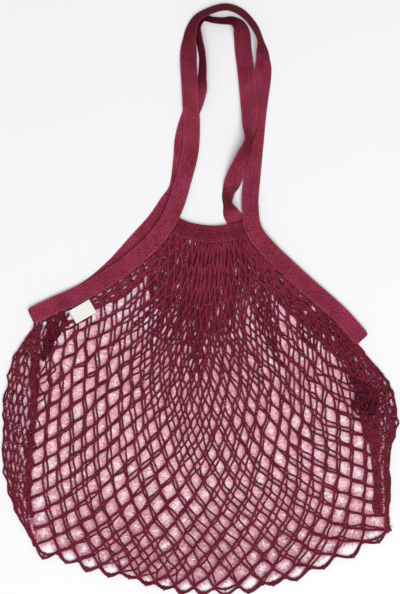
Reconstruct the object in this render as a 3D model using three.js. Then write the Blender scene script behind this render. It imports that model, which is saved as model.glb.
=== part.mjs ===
// Net bag with two long strap handles, emptied and laid flat on a surface.
// Millimetres: +X to the right, +Y from the bottom of the bag to its handles, +Z up from the surface.
import * as THREE from 'three';

// Strap tape, mouth bands and label
const TAPE_WIDTH = 22;
const TAPE_THICK = 2.2;
const TAPE_BEVEL = 1;
const TAPE_STEP = 9;
const TAPE_DETAIL = 12;
const EDGE_STEP = 3;
const TIP_SHARE = 0.68;
const TIP_ROUND = 14;
const LABEL = { length: 30, width: 19.5, thick: 1, turn: 30, x: -152.3, y: -18.9, low: 5.4 };

// Two layers of the net, from the surface up
const BACK_TOP = 2;
const FRONT_LOW = 2.5;
const FRONT_TOP = 4.5;
const KNOT_RISE = 0.6;
const GATHER_RISE = 2;
const GATHER_FROM = 0.15;
const GATHER_HOLD = 0.2;
const GATHER_FADE = 0.4;
const CELL_DIP = 0.4;

// Meshes of the net at twice the real pitch, counted in half meshes
const BAND_HALF_MESHES = 9;
const BAND_ROWS = 6;
const ALL_ROWS = 12;
const BAR_WIDTH = 5;
const EDGE_BAR_SHARE = 0.8;
const SMALLEST_GAP = 4;
const NEARLY_PARALLEL = 0.05;
const BOTTOM_SAG = 6;
const BOTTOM_LIP = 1;

// How far the net's edge lies under the front tape, and clear of the back tape
const FRONT_TUCK = 4;
const BACK_CLEAR = 1.8;

// Rolled edge on each side of the bag, where its closed meshes bunch up
const ROLL_ROWS = 12;
const ROLL_HEIGHT = 7.5;
const ROLL_START = 0.1;
const ROLL_GROWS = 3;
const ROLL_SHRINKS = 4;
const ROLL_EDGE_RISE = 0.15;

// Course of each tape: left tip, left band, handle, right band, right tip.
// z is the height of its middle, and roll lifts the edge on the inside of the handle loop, in degrees.
const FRONT_TAPE = [
  { at: 'left tip', x: -217, y: -24, z: 6.1, roll: 0 },
  { at: 'left band', x: -192, y: -12, z: 5.9, roll: 0 },
  { at: 'left band', x: -150, y: 7, z: 5.9, roll: 0 },
  { at: 'left band', x: -98, y: 40, z: 5.9, roll: 0 },
  { at: 'left band', x: -65, y: 68, z: 7.4, roll: 0 },
  { at: 'over the mouth band', x: -44, y: 94, z: 9.1, roll: 0 },
  { at: 'over the back strap', x: -31, y: 121, z: 8.4, roll: 0 },
  { at: 'over the back strap', x: -23, y: 148, z: 4.6, roll: 0 },
  { at: 'left strand', x: -13, y: 188, z: 3.9, roll: 0 },
  { at: 'left strand', x: -11, y: 224, z: 4.4, roll: 4 },
  { at: 'left strand', x: -12, y: 250, z: 7, roll: 14 },
  { at: 'left strand', x: -13, y: 272, z: 7, roll: 12 },
  { at: 'left strand', x: -15, y: 311, z: 5, roll: 8 },
  { at: 'turns on edge', x: -13, y: 339, z: 9, roll: 42 },
  { at: 'arch', x: -5, y: 360, z: 11, roll: 57 },
  { at: 'arch', x: 13, y: 371, z: 11, roll: 57 },
  { at: 'top of the arch', x: 34, y: 376, z: 11, roll: 57 },
  { at: 'arch', x: 52, y: 370, z: 11, roll: 57 },
  { at: 'arch', x: 68, y: 354, z: 11, roll: 60 },
  { at: 'arch', x: 78, y: 334, z: 11.5, roll: 66 },
  { at: 'lies down', x: 81.5, y: 312, z: 7.4, roll: 36 },
  { at: 'right strand', x: 82, y: 291, z: 1.7, roll: 2 },
  { at: 'right strand', x: 76, y: 243, z: 1.1, roll: 0 },
  { at: 'right strand', x: 72, y: 202, z: 1.1, roll: 0 },
  { at: 'right strand', x: 68, y: 159, z: 1.1, roll: 0 },
  { at: 'right strand', x: 65, y: 120, z: 8.2, roll: 0 },
  { at: 'over the mouth band', x: 70, y: 87, z: 9.1, roll: 0 },
  { at: 'right band', x: 94, y: 57, z: 6.8, roll: 0 },
  { at: 'right band', x: 136, y: 18, z: 5.9, roll: 0 },
  { at: 'right band', x: 182, y: -23, z: 5.9, roll: 0 },
  { at: 'right tip', x: 209, y: -53, z: 6.1, roll: 0 },
];
const BACK_TAPE = [
  { at: 'left tip', x: -217, y: -24, z: 1.1, roll: 0 },
  { at: 'left band', x: -192, y: -12, z: 1.1, roll: 0 },
  { at: 'left band', x: -150, y: 8, z: 1.1, roll: 0 },
  { at: 'left band', x: -114, y: 37, z: 1.1, roll: 0 },
  { at: 'left band', x: -83, y: 71, z: 1.1, roll: 0 },
  { at: 'left band', x: -57, y: 100, z: 1.1, roll: 0 },
  { at: 'left strand', x: -42, y: 122, z: 1.1, roll: 0 },
  { at: 'left strand', x: -30, y: 140, z: 1.1, roll: 0 },
  { at: 'under the front strap', x: -24, y: 178, z: 1.1, roll: 0 },
  { at: 'under the front strap', x: -22, y: 204, z: 1.1, roll: 0 },
  { at: 'under the front strap', x: -16, y: 228, z: 1.2, roll: 0 },
  { at: 'comes out to the right', x: -8, y: 248, z: 2.2, roll: 9 },
  { at: 'turns on edge', x: 0, y: 266, z: 6.6, roll: 38 },
  { at: 'on edge', x: 3, y: 287, z: 10.3, roll: 60 },
  { at: 'on edge', x: 3, y: 313, z: 10.8, roll: 67 },
  { at: 'on edge', x: -1, y: 334, z: 10.8, roll: 68 },
  { at: 'on edge', x: -3, y: 350, z: 10.8, roll: 66 },
  { at: 'top', x: 4, y: 361, z: 10.6, roll: 62 },
  { at: 'top', x: 18, y: 359, z: 10.6, roll: 60 },
  { at: 'top', x: 30, y: 358, z: 10.4, roll: 58 },
  { at: 'turns the corner', x: 43, y: 358, z: 9, roll: 50 },
  { at: 'lies down', x: 52, y: 351, z: 6.6, roll: 34 },
  { at: 'right strand', x: 55, y: 339, z: 2.2, roll: 6 },
  { at: 'right strand', x: 56, y: 324, z: 1.6, roll: 0 },
  { at: 'over the front strap', x: 60, y: 292, z: 4.6, roll: 0 },
  { at: 'over the front strap', x: 63, y: 259, z: 4.2, roll: 0 },
  { at: 'over the front strap', x: 65, y: 230, z: 6.6, roll: 16 },
  { at: 'pinched on edge', x: 63, y: 202, z: 12.9, roll: 57 },
  { at: 'over the front strap', x: 53, y: 177, z: 11, roll: 38 },
  { at: 'over the front strap', x: 44, y: 153, z: 7.2, roll: 0 },
  { at: 'pinched the other way', x: 37, y: 135, z: 9.4, roll: -44 },
  { at: 'pinched the other way', x: 36, y: 121, z: 9.6, roll: -58 },
  { at: 'under the mouth band', x: 43, y: 104, z: 2.9, roll: -8 },
  { at: 'right band', x: 58, y: 86, z: 1.1, roll: 0 },
  { at: 'right band', x: 94, y: 57, z: 1.1, roll: 0 },
  { at: 'right band', x: 136, y: 18, z: 1.1, roll: 0 },
  { at: 'right band', x: 182, y: -23, z: 1.1, roll: 0 },
  { at: 'right tip', x: 209, y: -53, z: 1.1, roll: 0 },
];

// Short bands that hold the gathered middle of each side of the mouth
const FRONT_BAND = [
  { x: -33, y: 93, z: 6.4, roll: 0 },
  { x: -22, y: 88, z: 6.4, roll: 0 },
  { x: -4, y: 83, z: 6.4, roll: 0 },
  { x: 16, y: 81, z: 6.4, roll: 0 },
  { x: 35, y: 83, z: 6.4, roll: 0 },
  { x: 60, y: 88, z: 6.4, roll: 0 },
];
const BACK_BAND = [
  { x: -37, y: 96, z: 1.1, roll: 0 },
  { x: -21, y: 88, z: 1.1, roll: 0 },
  { x: -4, y: 84, z: 1.1, roll: 0 },
  { x: 13, y: 82, z: 1.1, roll: 0 },
  { x: 29, y: 82, z: 1.1, roll: 0 },
];

// How the net is spread: a row for each level from the mouth (0) past the side tips (1) to the bottom (2),
// with the place of the left edge, the right edge and three meshes between them.
const SPREAD = [
  { level: 0, left: [-38, 90], midLeft: [-5, 76], centre: [17, 74], midRight: [36, 76], right: [63, 84] },
  { level: 0.25, left: [-70, 52], midLeft: [-22, 8], centre: [10, 5], midRight: [46, 13], right: [90, 46] },
  { level: 0.5, left: [-113, 14], midLeft: [-46, -35], centre: [5, -43], midRight: [56, -36], right: [130, 9] },
  { level: 0.75, left: [-164, -12], midLeft: [-73, -77], centre: [5, -92], midRight: [84, -81], right: [169, -25] },
  { level: 1, left: [-205, -38], midLeft: [-101, -118], centre: [5, -147], midRight: [113, -124], right: [198, -57] },
  { level: 1.25, left: [-211, -114], midLeft: [-113, -183], centre: [4, -208], midRight: [122, -190], right: [221, -118] },
  { level: 1.5, left: [-220, -192], midLeft: [-121, -244], centre: [4, -268], midRight: [131, -251], right: [231, -177] },
  { level: 1.75, left: [-223, -260], midLeft: [-117, -303], centre: [2, -325], midRight: [126, -307], right: [236, -247] },
  { level: 2, left: [-214, -322], midLeft: [-104, -358], centre: [-8, -378], midRight: [110, -364], right: [244, -303] },
];
const COLUMNS = ['left', 'midLeft', 'centre', 'midRight', 'right'];
const BACK_MOUTH = { level: 0, left: [-46, 83], midLeft: [-12, 71], centre: [14, 69], midRight: [31, 69], right: [51, 77] };
const BACK_SHIFT = { x: 5, y: -6 };

// Outer edge of the rolled sides, from the side tip to the bottom corner
const ROLL_EDGE = {
  left: [[-217, -43], [-242, -78], [-254, -127], [-256, -177], [-254, -230], [-240, -277], [-214, -322]],
  right: [[208, -66], [234, -98], [252, -126], [256, -165], [247, -202], [246, -251], [244, -303]],
};
// Section across a roll: share of its width from the flat net (0) to the outer edge (1), and its rise
const ROLL_FRONT = [
  { across: 0.14, rise: 0.45 },
  { across: 0.3, rise: 0.95 },
  { across: 0.45, rise: 0.85 },
  { across: 0.6, rise: 1 },
  { across: 0.78, rise: 0.6 },
];
const ROLL_BACK = [0.78, 0.45, 0.2];
const ROLL_EDGE_INNER = 0.9;

const YARN = { color: 0x74303f, roughness: 0.85, metalness: 0 };
const TAPE = { color: 0x86384a, roughness: 0.8, metalness: 0 };
const CREAM = { color: 0xefe9dc, roughness: 0.9, metalness: 0 };

// Smooth curve through a list of points or numbers, at a place from 0 to 1
function through(list, place) {
  const span = list.length - 1;
  const s = Math.min(Math.max(place, 0), 1) * span;
  const i = Math.min(Math.floor(s), span - 1);
  const t = s - i;
  const blend = (before, start, end, after) => {
    const first = before ?? 2 * start - end;
    const last = after ?? 2 * end - start;
    const cubic = 3 * (start - end) + last - first;
    return start + 0.5 * t * (end - first + t * (2 * first - 5 * start + 4 * end - last + t * cubic));
  };
  if (typeof list[0] === 'number') {
    return blend(list[i - 1], list[i], list[i + 1], list[i + 2]);
  }
  return list[0].map((_, k) => blend(list[i - 1]?.[k], list[i][k], list[i + 1][k], list[i + 2]?.[k]));
}

function smooth(t) {
  const s = Math.min(Math.max(t, 0), 1);
  return s * s * (3 - 2 * s);
}

// Even steps along a tape: middle, direction across it and direction out of its face
function tapeStations(rows, step) {
  const plan = new THREE.CatmullRomCurve3(
    rows.map((row) => new THREE.Vector3(row.x, row.y, 0)), false, 'centripetal');
  const pieces = TAPE_DETAIL * (rows.length - 1);
  const fine = [];
  for (let i = 0; i <= pieces; i += 1) {
    const k = Math.min(Math.floor(i / TAPE_DETAIL), rows.length - 2);
    const share = smooth(i / TAPE_DETAIL - k);
    const middle = plan.getPoint(i / pieces);
    middle.z = THREE.MathUtils.lerp(rows[k].z, rows[k + 1].z, share);
    const roll = THREE.MathUtils.degToRad(THREE.MathUtils.lerp(rows[k].roll, rows[k + 1].roll, share));
    const length = i === 0 ? 0 : fine[i - 1].length + middle.distanceTo(fine[i - 1].middle);
    fine.push({ middle, roll, length, along: plan.getTangent(i / pieces) });
  }
  const whole = fine[pieces].length;
  const count = Math.round(whole / step);
  const stations = [];
  for (let k = 0; k <= count; k += 1) {
    const target = (whole * k) / count;
    const { middle, roll, along } = fine.find(({ length }) => length >= target - 1e-6);
    const level = new THREE.Vector3(along.y, -along.x, 0).normalize();
    const across = level.multiplyScalar(Math.cos(roll)).add(new THREE.Vector3(0, 0, Math.sin(roll)));
    const out = new THREE.Vector3().crossVectors(across, along).normalize();
    const reach = Math.abs(Math.sin(roll)) * (TAPE_WIDTH / 2 - TAPE_BEVEL) + Math.cos(roll) * (TAPE_THICK / 2);
    middle.z = Math.max(middle.z, reach);
    const fromTip = Math.min(target, whole - target);
    stations.push({ middle, across, out, fromTip });
  }
  return stations;
}

// Flat tape with bevelled edges; a strap is rounded off towards its two tips
function tapeGeometry(rows, rounded) {
  const wide = TAPE_WIDTH / 2;
  const thick = TAPE_THICK / 2;
  const section = [
    [-wide, 0], [-wide + TAPE_BEVEL, -thick], [wide - TAPE_BEVEL, -thick],
    [wide, 0], [wide - TAPE_BEVEL, thick], [-wide + TAPE_BEVEL, thick],
  ];
  const stations = tapeStations(rows, TAPE_STEP);
  const points = [];
  for (const { middle, across, out, fromTip } of stations) {
    const share = rounded ? TIP_SHARE + (1 - TIP_SHARE) * smooth(fromTip / TIP_ROUND) : 1;
    for (const [side, up] of section) {
      points.push(middle.clone().addScaledVector(across, side * share).addScaledVector(out, up));
    }
  }
  const faces = [];
  const sides = section.length;
  for (let k = 0; k < stations.length - 1; k += 1) {
    for (let j = 0; j < sides; j += 1) {
      const next = (j + 1) % sides;
      const a = k * sides + j;
      const b = k * sides + next;
      faces.push([a, b + sides, b], [a, a + sides, b + sides]);
    }
  }
  const last = (stations.length - 1) * sides;
  for (let j = 1; j < sides - 1; j += 1) {
    faces.push([0, j, j + 1], [last, last + j + 1, last + j]);
  }
  return solid(points, faces);
}

function solid(points, faces) {
  const geometry = new THREE.BufferGeometry();
  geometry.setAttribute('position', new THREE.Float32BufferAttribute(points.flatMap((p) => p.toArray()), 3));
  geometry.setIndex(faces.flat());
  geometry.computeVertexNormals();
  return geometry;
}

// Sheet of faces over points that each have an outer and an inner place; its open edges get walls
function sheetGeometry(points, faces) {
  const count = points.length;
  const all = [];
  const open = new Map();
  for (const face of faces) {
    all.push(face, [face[0] + count, face[2] + count, face[1] + count]);
    for (let k = 0; k < 3; k += 1) {
      const from = face[k];
      const to = face[(k + 1) % 3];
      if (!open.delete(`${to} ${from}`)) {
        open.set(`${from} ${to}`, [from, to]);
      }
    }
  }
  for (const [from, to] of open.values()) {
    all.push([to, from, from + count], [to, from + count, to + count]);
  }
  return solid([...points.map((p) => p.outer), ...points.map((p) => p.inner)], all);
}

// The tape's edge towards the net, moved away from the tape's middle by some clearance
function tapeEdge(rows, clearance) {
  return tapeStations(rows, EDGE_STEP).map(({ middle, across }) =>
    middle.clone().addScaledVector(across, TAPE_WIDTH / 2 + clearance));
}

function nearest(edge, x, y) {
  let best = edge[0];
  let least = Infinity;
  for (const point of edge) {
    const distance = Math.hypot(point.x - x, point.y - y);
    if (distance < least) {
      least = distance;
      best = point;
    }
  }
  return [best.x, best.y];
}

// One layer of the spread net: place of a mesh from its share across and its level
function layer(front) {
  const rows = front ? SPREAD : [BACK_MOUTH, ...SPREAD.slice(1)];
  const edge = front ? tapeEdge(FRONT_TAPE, -FRONT_TUCK) : tapeEdge(BACK_TAPE, BACK_CLEAR);
  const shift = front ? { x: 0, y: 0 } : BACK_SHIFT;
  return (across, level) => {
    const courses = rows.map((row) => through(COLUMNS.map((name) => row[name]), (across + 1) / 2));
    const [x, y] = through(courses, level / 2);
    if (Math.abs(across) === 1 && level <= 1 && level > 0) {
      return nearest(edge, x, y);
    }
    const free = Math.cos((across * Math.PI) / 2) * Math.sin((level * Math.PI) / 2);
    return [x + shift.x * free, y + shift.y * free];
  };
}

function halfWidthAt(row) {
  return row <= BAND_ROWS ? BAND_HALF_MESHES + row : BAND_HALF_MESHES + 2 * BAND_ROWS - row;
}

// Heights of a layer's outer and inner face
function layerHeights(front, across, level, knot) {
  if (!front) {
    return { outer: 0, inner: BACK_TOP };
  }
  const bunched = smooth(level / GATHER_FROM) * (1 - smooth((level - GATHER_HOLD) / GATHER_FADE));
  const gather = bunched * (1 - Math.abs(across) ** 3);
  return { outer: FRONT_TOP + GATHER_RISE * gather + (knot ? KNOT_RISE : 0), inner: FRONT_LOW };
}

// Corners of a gap: the mesh's corners moved in by half a bar, or nothing where the gap would be too small
function gapCorners(corners, insets) {
  const moved = [];
  const lines = corners.map((corner, k) => {
    const next = corners[(k + 1) % corners.length];
    const length = Math.hypot(next[0] - corner[0], next[1] - corner[1]);
    const way = [(next[0] - corner[0]) / length, (next[1] - corner[1]) / length];
    return { start: [corner[0] - way[1] * insets[k], corner[1] + way[0] * insets[k]], way };
  });
  for (let k = 0; k < corners.length; k += 1) {
    const a = lines[(k + corners.length - 1) % corners.length];
    const b = lines[k];
    const cross = a.way[0] * b.way[1] - a.way[1] * b.way[0];
    if (Math.abs(cross) < NEARLY_PARALLEL) {
      return null;
    }
    const dx = b.start[0] - a.start[0];
    const dy = b.start[1] - a.start[1];
    const t = (dx * b.way[1] - dy * b.way[0]) / cross;
    moved.push([a.start[0] + a.way[0] * t, a.start[1] + a.way[1] * t]);
  }
  for (let k = 0; k < moved.length; k += 1) {
    const line = lines[k];
    const opposite = moved[(k + 2) % moved.length];
    const height = (opposite[1] - line.start[1]) * line.way[0] - (opposite[0] - line.start[0]) * line.way[1];
    const side = [moved[(k + 1) % 4][0] - moved[k][0], moved[(k + 1) % 4][1] - moved[k][1]];
    if (height < SMALLEST_GAP || side[0] * line.way[0] + side[1] * line.way[1] < SMALLEST_GAP) {
      return null;
    }
  }
  return moved;
}

// Points and faces of the whole net, gathered piece by piece
class NetSheet {
  constructor() {
    this.points = [];
    this.faces = [];
    this.known = new Map();
    this.layers = { front: layer(true), back: layer(false) };
  }

  addPoint(outer, inner) {
    this.points.push({ outer: new THREE.Vector3(...outer), inner: new THREE.Vector3(...inner) });
    return this.points.length - 1;
  }

  addFace(rightWay, ...corners) {
    const list = rightWay ? corners : [...corners].reverse();
    for (let k = 1; k < list.length - 1; k += 1) {
      this.faces.push([list[0], list[k], list[k + 1]]);
    }
  }

  placeAt(side, column, row) {
    const share = Math.max(-1, Math.min(1, column / halfWidthAt(row)));
    const [x, y] = this.layers[side](share, row / BAND_ROWS);
    const sags = row === ALL_ROWS && (column + row) % 2 === 0;
    return sags ? [x, y - BOTTOM_SAG] : [x, y];
  }

  // A knot of the net, or a point of the bottom edge that both layers share
  knotAt(side, column, row) {
    const shared = row === ALL_ROWS;
    const key = `${shared ? 'bottom' : side} ${column} ${row}`;
    if (!this.known.has(key)) {
      const [x, y] = this.placeAt(side, column, row);
      if (shared) {
        const middle = (BACK_TOP + FRONT_LOW) / 2;
        this.known.set(key, this.addPoint([x, y - BOTTOM_LIP, middle], [x, y + BOTTOM_LIP, middle]));
      } else {
        const rim = row === 0 || Math.abs(column) === halfWidthAt(row);
        const share = column / halfWidthAt(row);
        const { outer, inner } = layerHeights(side === 'front', share, row / BAND_ROWS, !rim);
        this.known.set(key, this.addPoint([x, y, outer], [x, y, inner]));
      }
    }
    return this.known.get(key);
  }
}

// One layer of the net, a mesh at a time: bars round a gap, or closed cloth where the mesh is bunched
function addLayer(sheet, side) {
  const front = side === 'front';
  for (let row = 0; row <= ALL_ROWS; row += 1) {
    const limit = halfWidthAt(row) - 1;
    for (let column = -limit; column <= limit; column += 2) {
      const ring = [
        [column - 1, row],
        [column, Math.min(row + 1, ALL_ROWS)],
        [column + 1, row],
        [column, Math.max(row - 1, 0)],
      ];
      const places = ring.map(([c, r]) => sheet.placeAt(side, c, r));
      const knots = ring.map(([c, r]) => sheet.knotAt(side, c, r));
      const insets = ring.map((corner, k) =>
        (corner[1] === ring[(k + 1) % 4][1] ? BAR_WIDTH * EDGE_BAR_SHARE : BAR_WIDTH / 2));
      const gap = row === 0 ? null : gapCorners(places, insets);
      const { outer, inner } = layerHeights(front, column / halfWidthAt(row), row / BAND_ROWS, false);
      if (gap) {
        const rim = gap.map(([x, y]) => sheet.addPoint([x, y, outer], [x, y, inner]));
        for (let k = 0; k < 4; k += 1) {
          const next = (k + 1) % 4;
          sheet.addFace(front, knots[k], knots[next], rim[next], rim[k]);
        }
      } else {
        const x = places.reduce((sum, p) => sum + p[0], 0) / 4;
        const y = places.reduce((sum, p) => sum + p[1], 0) / 4;
        const middle = sheet.addPoint([x, y, front ? outer - CELL_DIP : outer], [x, y, inner]);
        for (let k = 0; k < 4; k += 1) {
          sheet.addFace(front, knots[k], knots[(k + 1) % 4], middle);
        }
      }
    }
  }
}

// Section across a rolled side at one station, from the front layer round the outer edge to the back layer
function rollStrip(sheet, name, sign, k) {
  const level = 1 + k / ROLL_ROWS;
  const [ex, ey] = through(ROLL_EDGE[name], k / ROLL_ROWS);
  const front = sheet.layers.front(sign, level);
  const back = sheet.layers.back(sign, level);
  const swell = ROLL_HEIGHT * smooth(ROLL_START + k / ROLL_GROWS) * smooth((ROLL_ROWS + 1 - k) / ROLL_SHRINKS);
  const towardsEdge = ([x, y], share) => [x + (ex - x) * share, y + (ey - y) * share];
  const strip = ROLL_FRONT.map(({ across, rise }) => {
    const [x, y] = towardsEdge(front, across);
    return sheet.addPoint([x, y, FRONT_TOP + swell * rise], [x, y, FRONT_LOW]);
  });
  const [ix, iy] = towardsEdge(front, ROLL_EDGE_INNER);
  const middle = (BACK_TOP + FRONT_LOW) / 2;
  strip.push(sheet.addPoint([ex, ey, middle + swell * ROLL_EDGE_RISE], [ix, iy, middle]));
  for (const share of ROLL_BACK) {
    const [x, y] = towardsEdge(back, share);
    strip.push(sheet.addPoint([x, y, 0], [x, y, BACK_TOP]));
  }
  return strip;
}

function addRoll(sheet, name, sign) {
  const perMesh = ROLL_ROWS / (ALL_ROWS - BAND_ROWS);
  const rightWay = sign < 0;
  let before = null;
  for (let k = 0; k < ROLL_ROWS; k += 1) {
    const strip = rollStrip(sheet, name, sign, k);
    const row = BAND_ROWS + Math.floor(k / perMesh);
    const [front, back] = ['front', 'back'].map((side) =>
      [row, row + 1].map((r) => sheet.knotAt(side, sign * halfWidthAt(r), r)));
    const last = strip.length - 1;
    if (before) {
      for (let j = 0; j < last; j += 1) {
        sheet.addFace(rightWay, before.strip[j], before.strip[j + 1], strip[j + 1], strip[j]);
      }
      sheet.addFace(rightWay, before.front, before.strip[0], strip[0]);
      sheet.addFace(!rightWay, before.back, before.strip[last], strip[last]);
      if (k % perMesh !== 0) {
        sheet.addFace(rightWay, front[0], strip[0], front[1]);
        sheet.addFace(!rightWay, back[0], strip[last], back[1]);
      }
    }
    const onKnot = k % perMesh === 0;
    before = { strip, front: onKnot ? front[0] : front[1], back: onKnot ? back[0] : back[1] };
  }
  const corner = sheet.knotAt('front', sign * halfWidthAt(ALL_ROWS), ALL_ROWS);
  for (let j = 0; j < before.strip.length - 1; j += 1) {
    sheet.addFace(rightWay, before.strip[j], before.strip[j + 1], corner);
  }
}

function netGeometry() {
  const sheet = new NetSheet();
  addLayer(sheet, 'front');
  addLayer(sheet, 'back');
  addRoll(sheet, 'left', -1);
  addRoll(sheet, 'right', 1);
  return sheetGeometry(sheet.points, sheet.faces);
}

function labelGeometry() {
  const geometry = new THREE.BoxGeometry(LABEL.length, LABEL.width, LABEL.thick);
  geometry.deleteAttribute('uv');
  geometry.deleteAttribute('normal');
  return geometry;
}

function piece(name, geometry, finish) {
  const mesh = new THREE.Mesh(geometry, new THREE.MeshStandardMaterial(finish));
  mesh.name = name;
  return mesh;
}

const net = piece('net_body', netGeometry(), YARN);
const frontTape = piece('tape_front', tapeGeometry(FRONT_TAPE, true), TAPE);
const backTape = piece('tape_back', tapeGeometry(BACK_TAPE, true), TAPE);
const frontBand = piece('mouth_band_front', tapeGeometry(FRONT_BAND, false), TAPE);
const backBand = piece('mouth_band_back', tapeGeometry(BACK_BAND, false), TAPE);
const label = piece('label', labelGeometry(), CREAM);
label.position.set(LABEL.x, LABEL.y, LABEL.low + LABEL.thick / 2);
label.rotation.z = THREE.MathUtils.degToRad(LABEL.turn);

// The origin is the middle of the underside of the whole bag
const bag = new THREE.Group();
bag.add(net, frontTape, backTape, frontBand, backBand, label);
bag.updateMatrixWorld(true);
const box = new THREE.Box3().setFromObject(bag, true);
bag.position.set(-(box.min.x + box.max.x) / 2, -(box.min.y + box.max.y) / 2, -box.min.z);

export default bag;
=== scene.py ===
"""Net shopping bag lying flat and empty: its yarn, tapes and label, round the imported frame."""
import math

import bpy
import numpy as np
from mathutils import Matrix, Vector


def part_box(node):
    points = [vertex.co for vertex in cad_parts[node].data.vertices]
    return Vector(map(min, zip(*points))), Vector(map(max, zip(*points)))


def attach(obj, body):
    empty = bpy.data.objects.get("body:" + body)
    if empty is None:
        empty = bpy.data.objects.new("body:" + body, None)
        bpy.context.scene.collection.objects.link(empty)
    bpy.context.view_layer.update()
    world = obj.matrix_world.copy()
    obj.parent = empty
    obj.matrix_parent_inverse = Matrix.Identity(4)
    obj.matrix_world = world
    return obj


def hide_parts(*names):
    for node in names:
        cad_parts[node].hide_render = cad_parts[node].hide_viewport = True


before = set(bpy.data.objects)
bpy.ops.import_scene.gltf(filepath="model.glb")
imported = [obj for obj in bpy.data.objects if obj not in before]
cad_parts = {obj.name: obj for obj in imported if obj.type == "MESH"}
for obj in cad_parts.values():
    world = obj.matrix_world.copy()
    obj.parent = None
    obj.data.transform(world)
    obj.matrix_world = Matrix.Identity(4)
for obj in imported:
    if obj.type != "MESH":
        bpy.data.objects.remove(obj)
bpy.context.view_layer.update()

# Lengths and heights are in millimetres unless a comment says otherwise
MM = 0.001
BODY = "root"
SEED = 20
FLOOR_GAP = 0.1

# Strap tape, its ribs, and the way that its ends are rounded off and turned round the side tips
TAPE_WIDTH = 22.0
TAPE_THICK = 1.9
TAPE_STEP = 3.0
TAPE_LOWEST = 0.02
EDGE_POWER = 5
RIB_PITCH = 3.4
RIB_HEIGHT = 0.12
RIBBED_SHARE = 0.9
TAPE_ACROSS = 26
STEPS_PER_STATION = 12
TIP_SHARE = 0.62
TIP_ROUND = 13.0
TIP_POWER = 0.7
TURN_DEGREES = 15
STITCH = {"pitch": 3.2, "long": 2.2, "thick": 0.9, "bow": 0.25, "rows": (-8.0, 8.6)}

# Yarn and knots
YARN_THICK = 2.9
BACK_THICK = 2.6
BUNCHED_THICK = 3.3
PLEAT_THICK = 2.8
THINNER = 0.05
KNOT = {"across": 2.05, "high": 1.6, "along": 2.8}
KNOT_SIZES = np.array(list(KNOT.values()))
KNOT_TWIST = 0.12
KNOT_SPREAD = (0.9, 1.1)
BUNCHED_KNOT_LESS = 0.1

# How far knots and bars stray from an even net: slipped along the mesh where it is bunched, drifted
# across it where it lies open, and at random
SLIP = 9.0
SLIP_TURN = 0.8
DRIFT = 1.3
DRIFT_TURNS = (2.3, 0.45)
KNOT_STRAY = 0.85
BUNCHED_STRAY_LESS = 0.45
HEIGHT_STRAY = 0.15
BAR_SWAY = 0.55
BAR_RISE = (-0.3, 0.3)
BUNCHED_RISE = (-0.4, 1.3)

# How strongly a bar leaves a knot along the mesh: always, at random, and more where it is bunched
PULL = (0.42, 0.2, 0.2)

# Loops of yarn along the bottom edge
SAG = {"front": 8.5, "back": 7.0}
SAG_STRAY = 0.4
SAG_RANGE = (0.4, 1.6)
SAG_POWER = 1.3
SAG_THICKER = 1.05

# Height of each layer of yarn where the net lies open, and where it is bunched by the mouth
HEIGHTS = {"back": (1.4, 1.4), "low pleat": (1.9, 1.9), "high pleat": (2.6, 2.6),
           "front": (3.6, 5.2)}

# Loose fibres that stand out from the yarn: how many, how steeply they go down and how long they
# are; by the bag's edge those that point out of it are short, and more of them lie low down
FIBRE_PIECES = {
    "net_front_fibres": (40000, 0.8, (3.0, 12.5)),
    "net_back_fibres": (49500, 0.15, (3.0, 12.5)),
    "net_roll_left_fibres": (6000, 0.3, (2.0, 5.0)),
    "net_roll_right_fibres": (2500, 0.3, (2.0, 5.0)),
}
FIBRE = {"wide": 0.42, "root": 0.3, "lift": 0.15, "lean": 0.5, "slope": 0.25, "short": 0.65}
BY_EDGE = {"side": 215.0, "bottom": -366.0, "rise": 0.25}
LOW_DOWN = {"more": 0.9, "from": -200, "over": 150}
NET_MIDDLE = np.array([0.0, -190.0])

# Meshes of the real net, counted in half meshes
MOUTH_HALF_MESHES = 18
TIP_ROW = 11
BOTTOM_ROW = 24

# How far the net's edge lies under the front tape, and clear of the back tape
FRONT_TUCK = 4.0
BACK_CLEAR = 1.8

# Levels run from 0 at the mouth over 1 at the side tips to 2 at the bottom: where the net is
# bunched, and how far its edges hold its meshes in place
GATHER = {"from": 0.15, "over": 0.55}
HELD_LEVEL = 0.08
FREE_LEVEL = 0.06
RAISED_LEVEL = 0.07
EDGE_HOLD = 8
FIBRES_BELOW_GATHER = 0.12

# Pleats: how far down they hang at the middle, and where those by the sides lie
HANG = {"least": 0.27, "more": 0.55, "power": 1.4, "within": 0.8}
RIGHT_PLEATS = {"share": 0.7, "slant": 0.12, "level": 1.08}
LEFT_PLEATS = {"share": -0.9, "level": 1.0}

# Course of each tape: x, y and height of its middle, and the roll that lifts its edge inside the
# handle loop
FRONT_TAPE = [
    (-217, -24, 6.1, 0), (-192, -12, 5.9, 0), (-150, 7, 5.9, 0), (-98, 40, 5.9, 0),
    (-65, 68, 7.4, 0), (-44, 94, 9.1, 0), (-31, 121, 8.4, 0), (-23, 148, 4.6, 0),
    (-13, 188, 3.9, 0), (-11, 224, 4.4, 4), (-12, 250, 7, 14), (-13, 272, 7, 12), (-15, 311, 5, 8),
    (-13, 339, 9, 42), (-5, 360, 11, 57), (13, 371, 11, 57), (34, 376, 11, 57), (52, 370, 11, 57),
    (68, 354, 11, 60), (78, 334, 11.5, 66), (81.5, 312, 7.4, 36), (82, 291, 1.7, 2),
    (76, 243, 1.1, 0), (72, 202, 1.1, 0), (68, 159, 1.1, 0), (65, 120, 8.2, 0), (70, 87, 9.1, 0),
    (94, 57, 6.8, 0), (136, 18, 5.9, 0), (182, -23, 5.9, 0), (209, -53, 6.1, 0),
]
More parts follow.
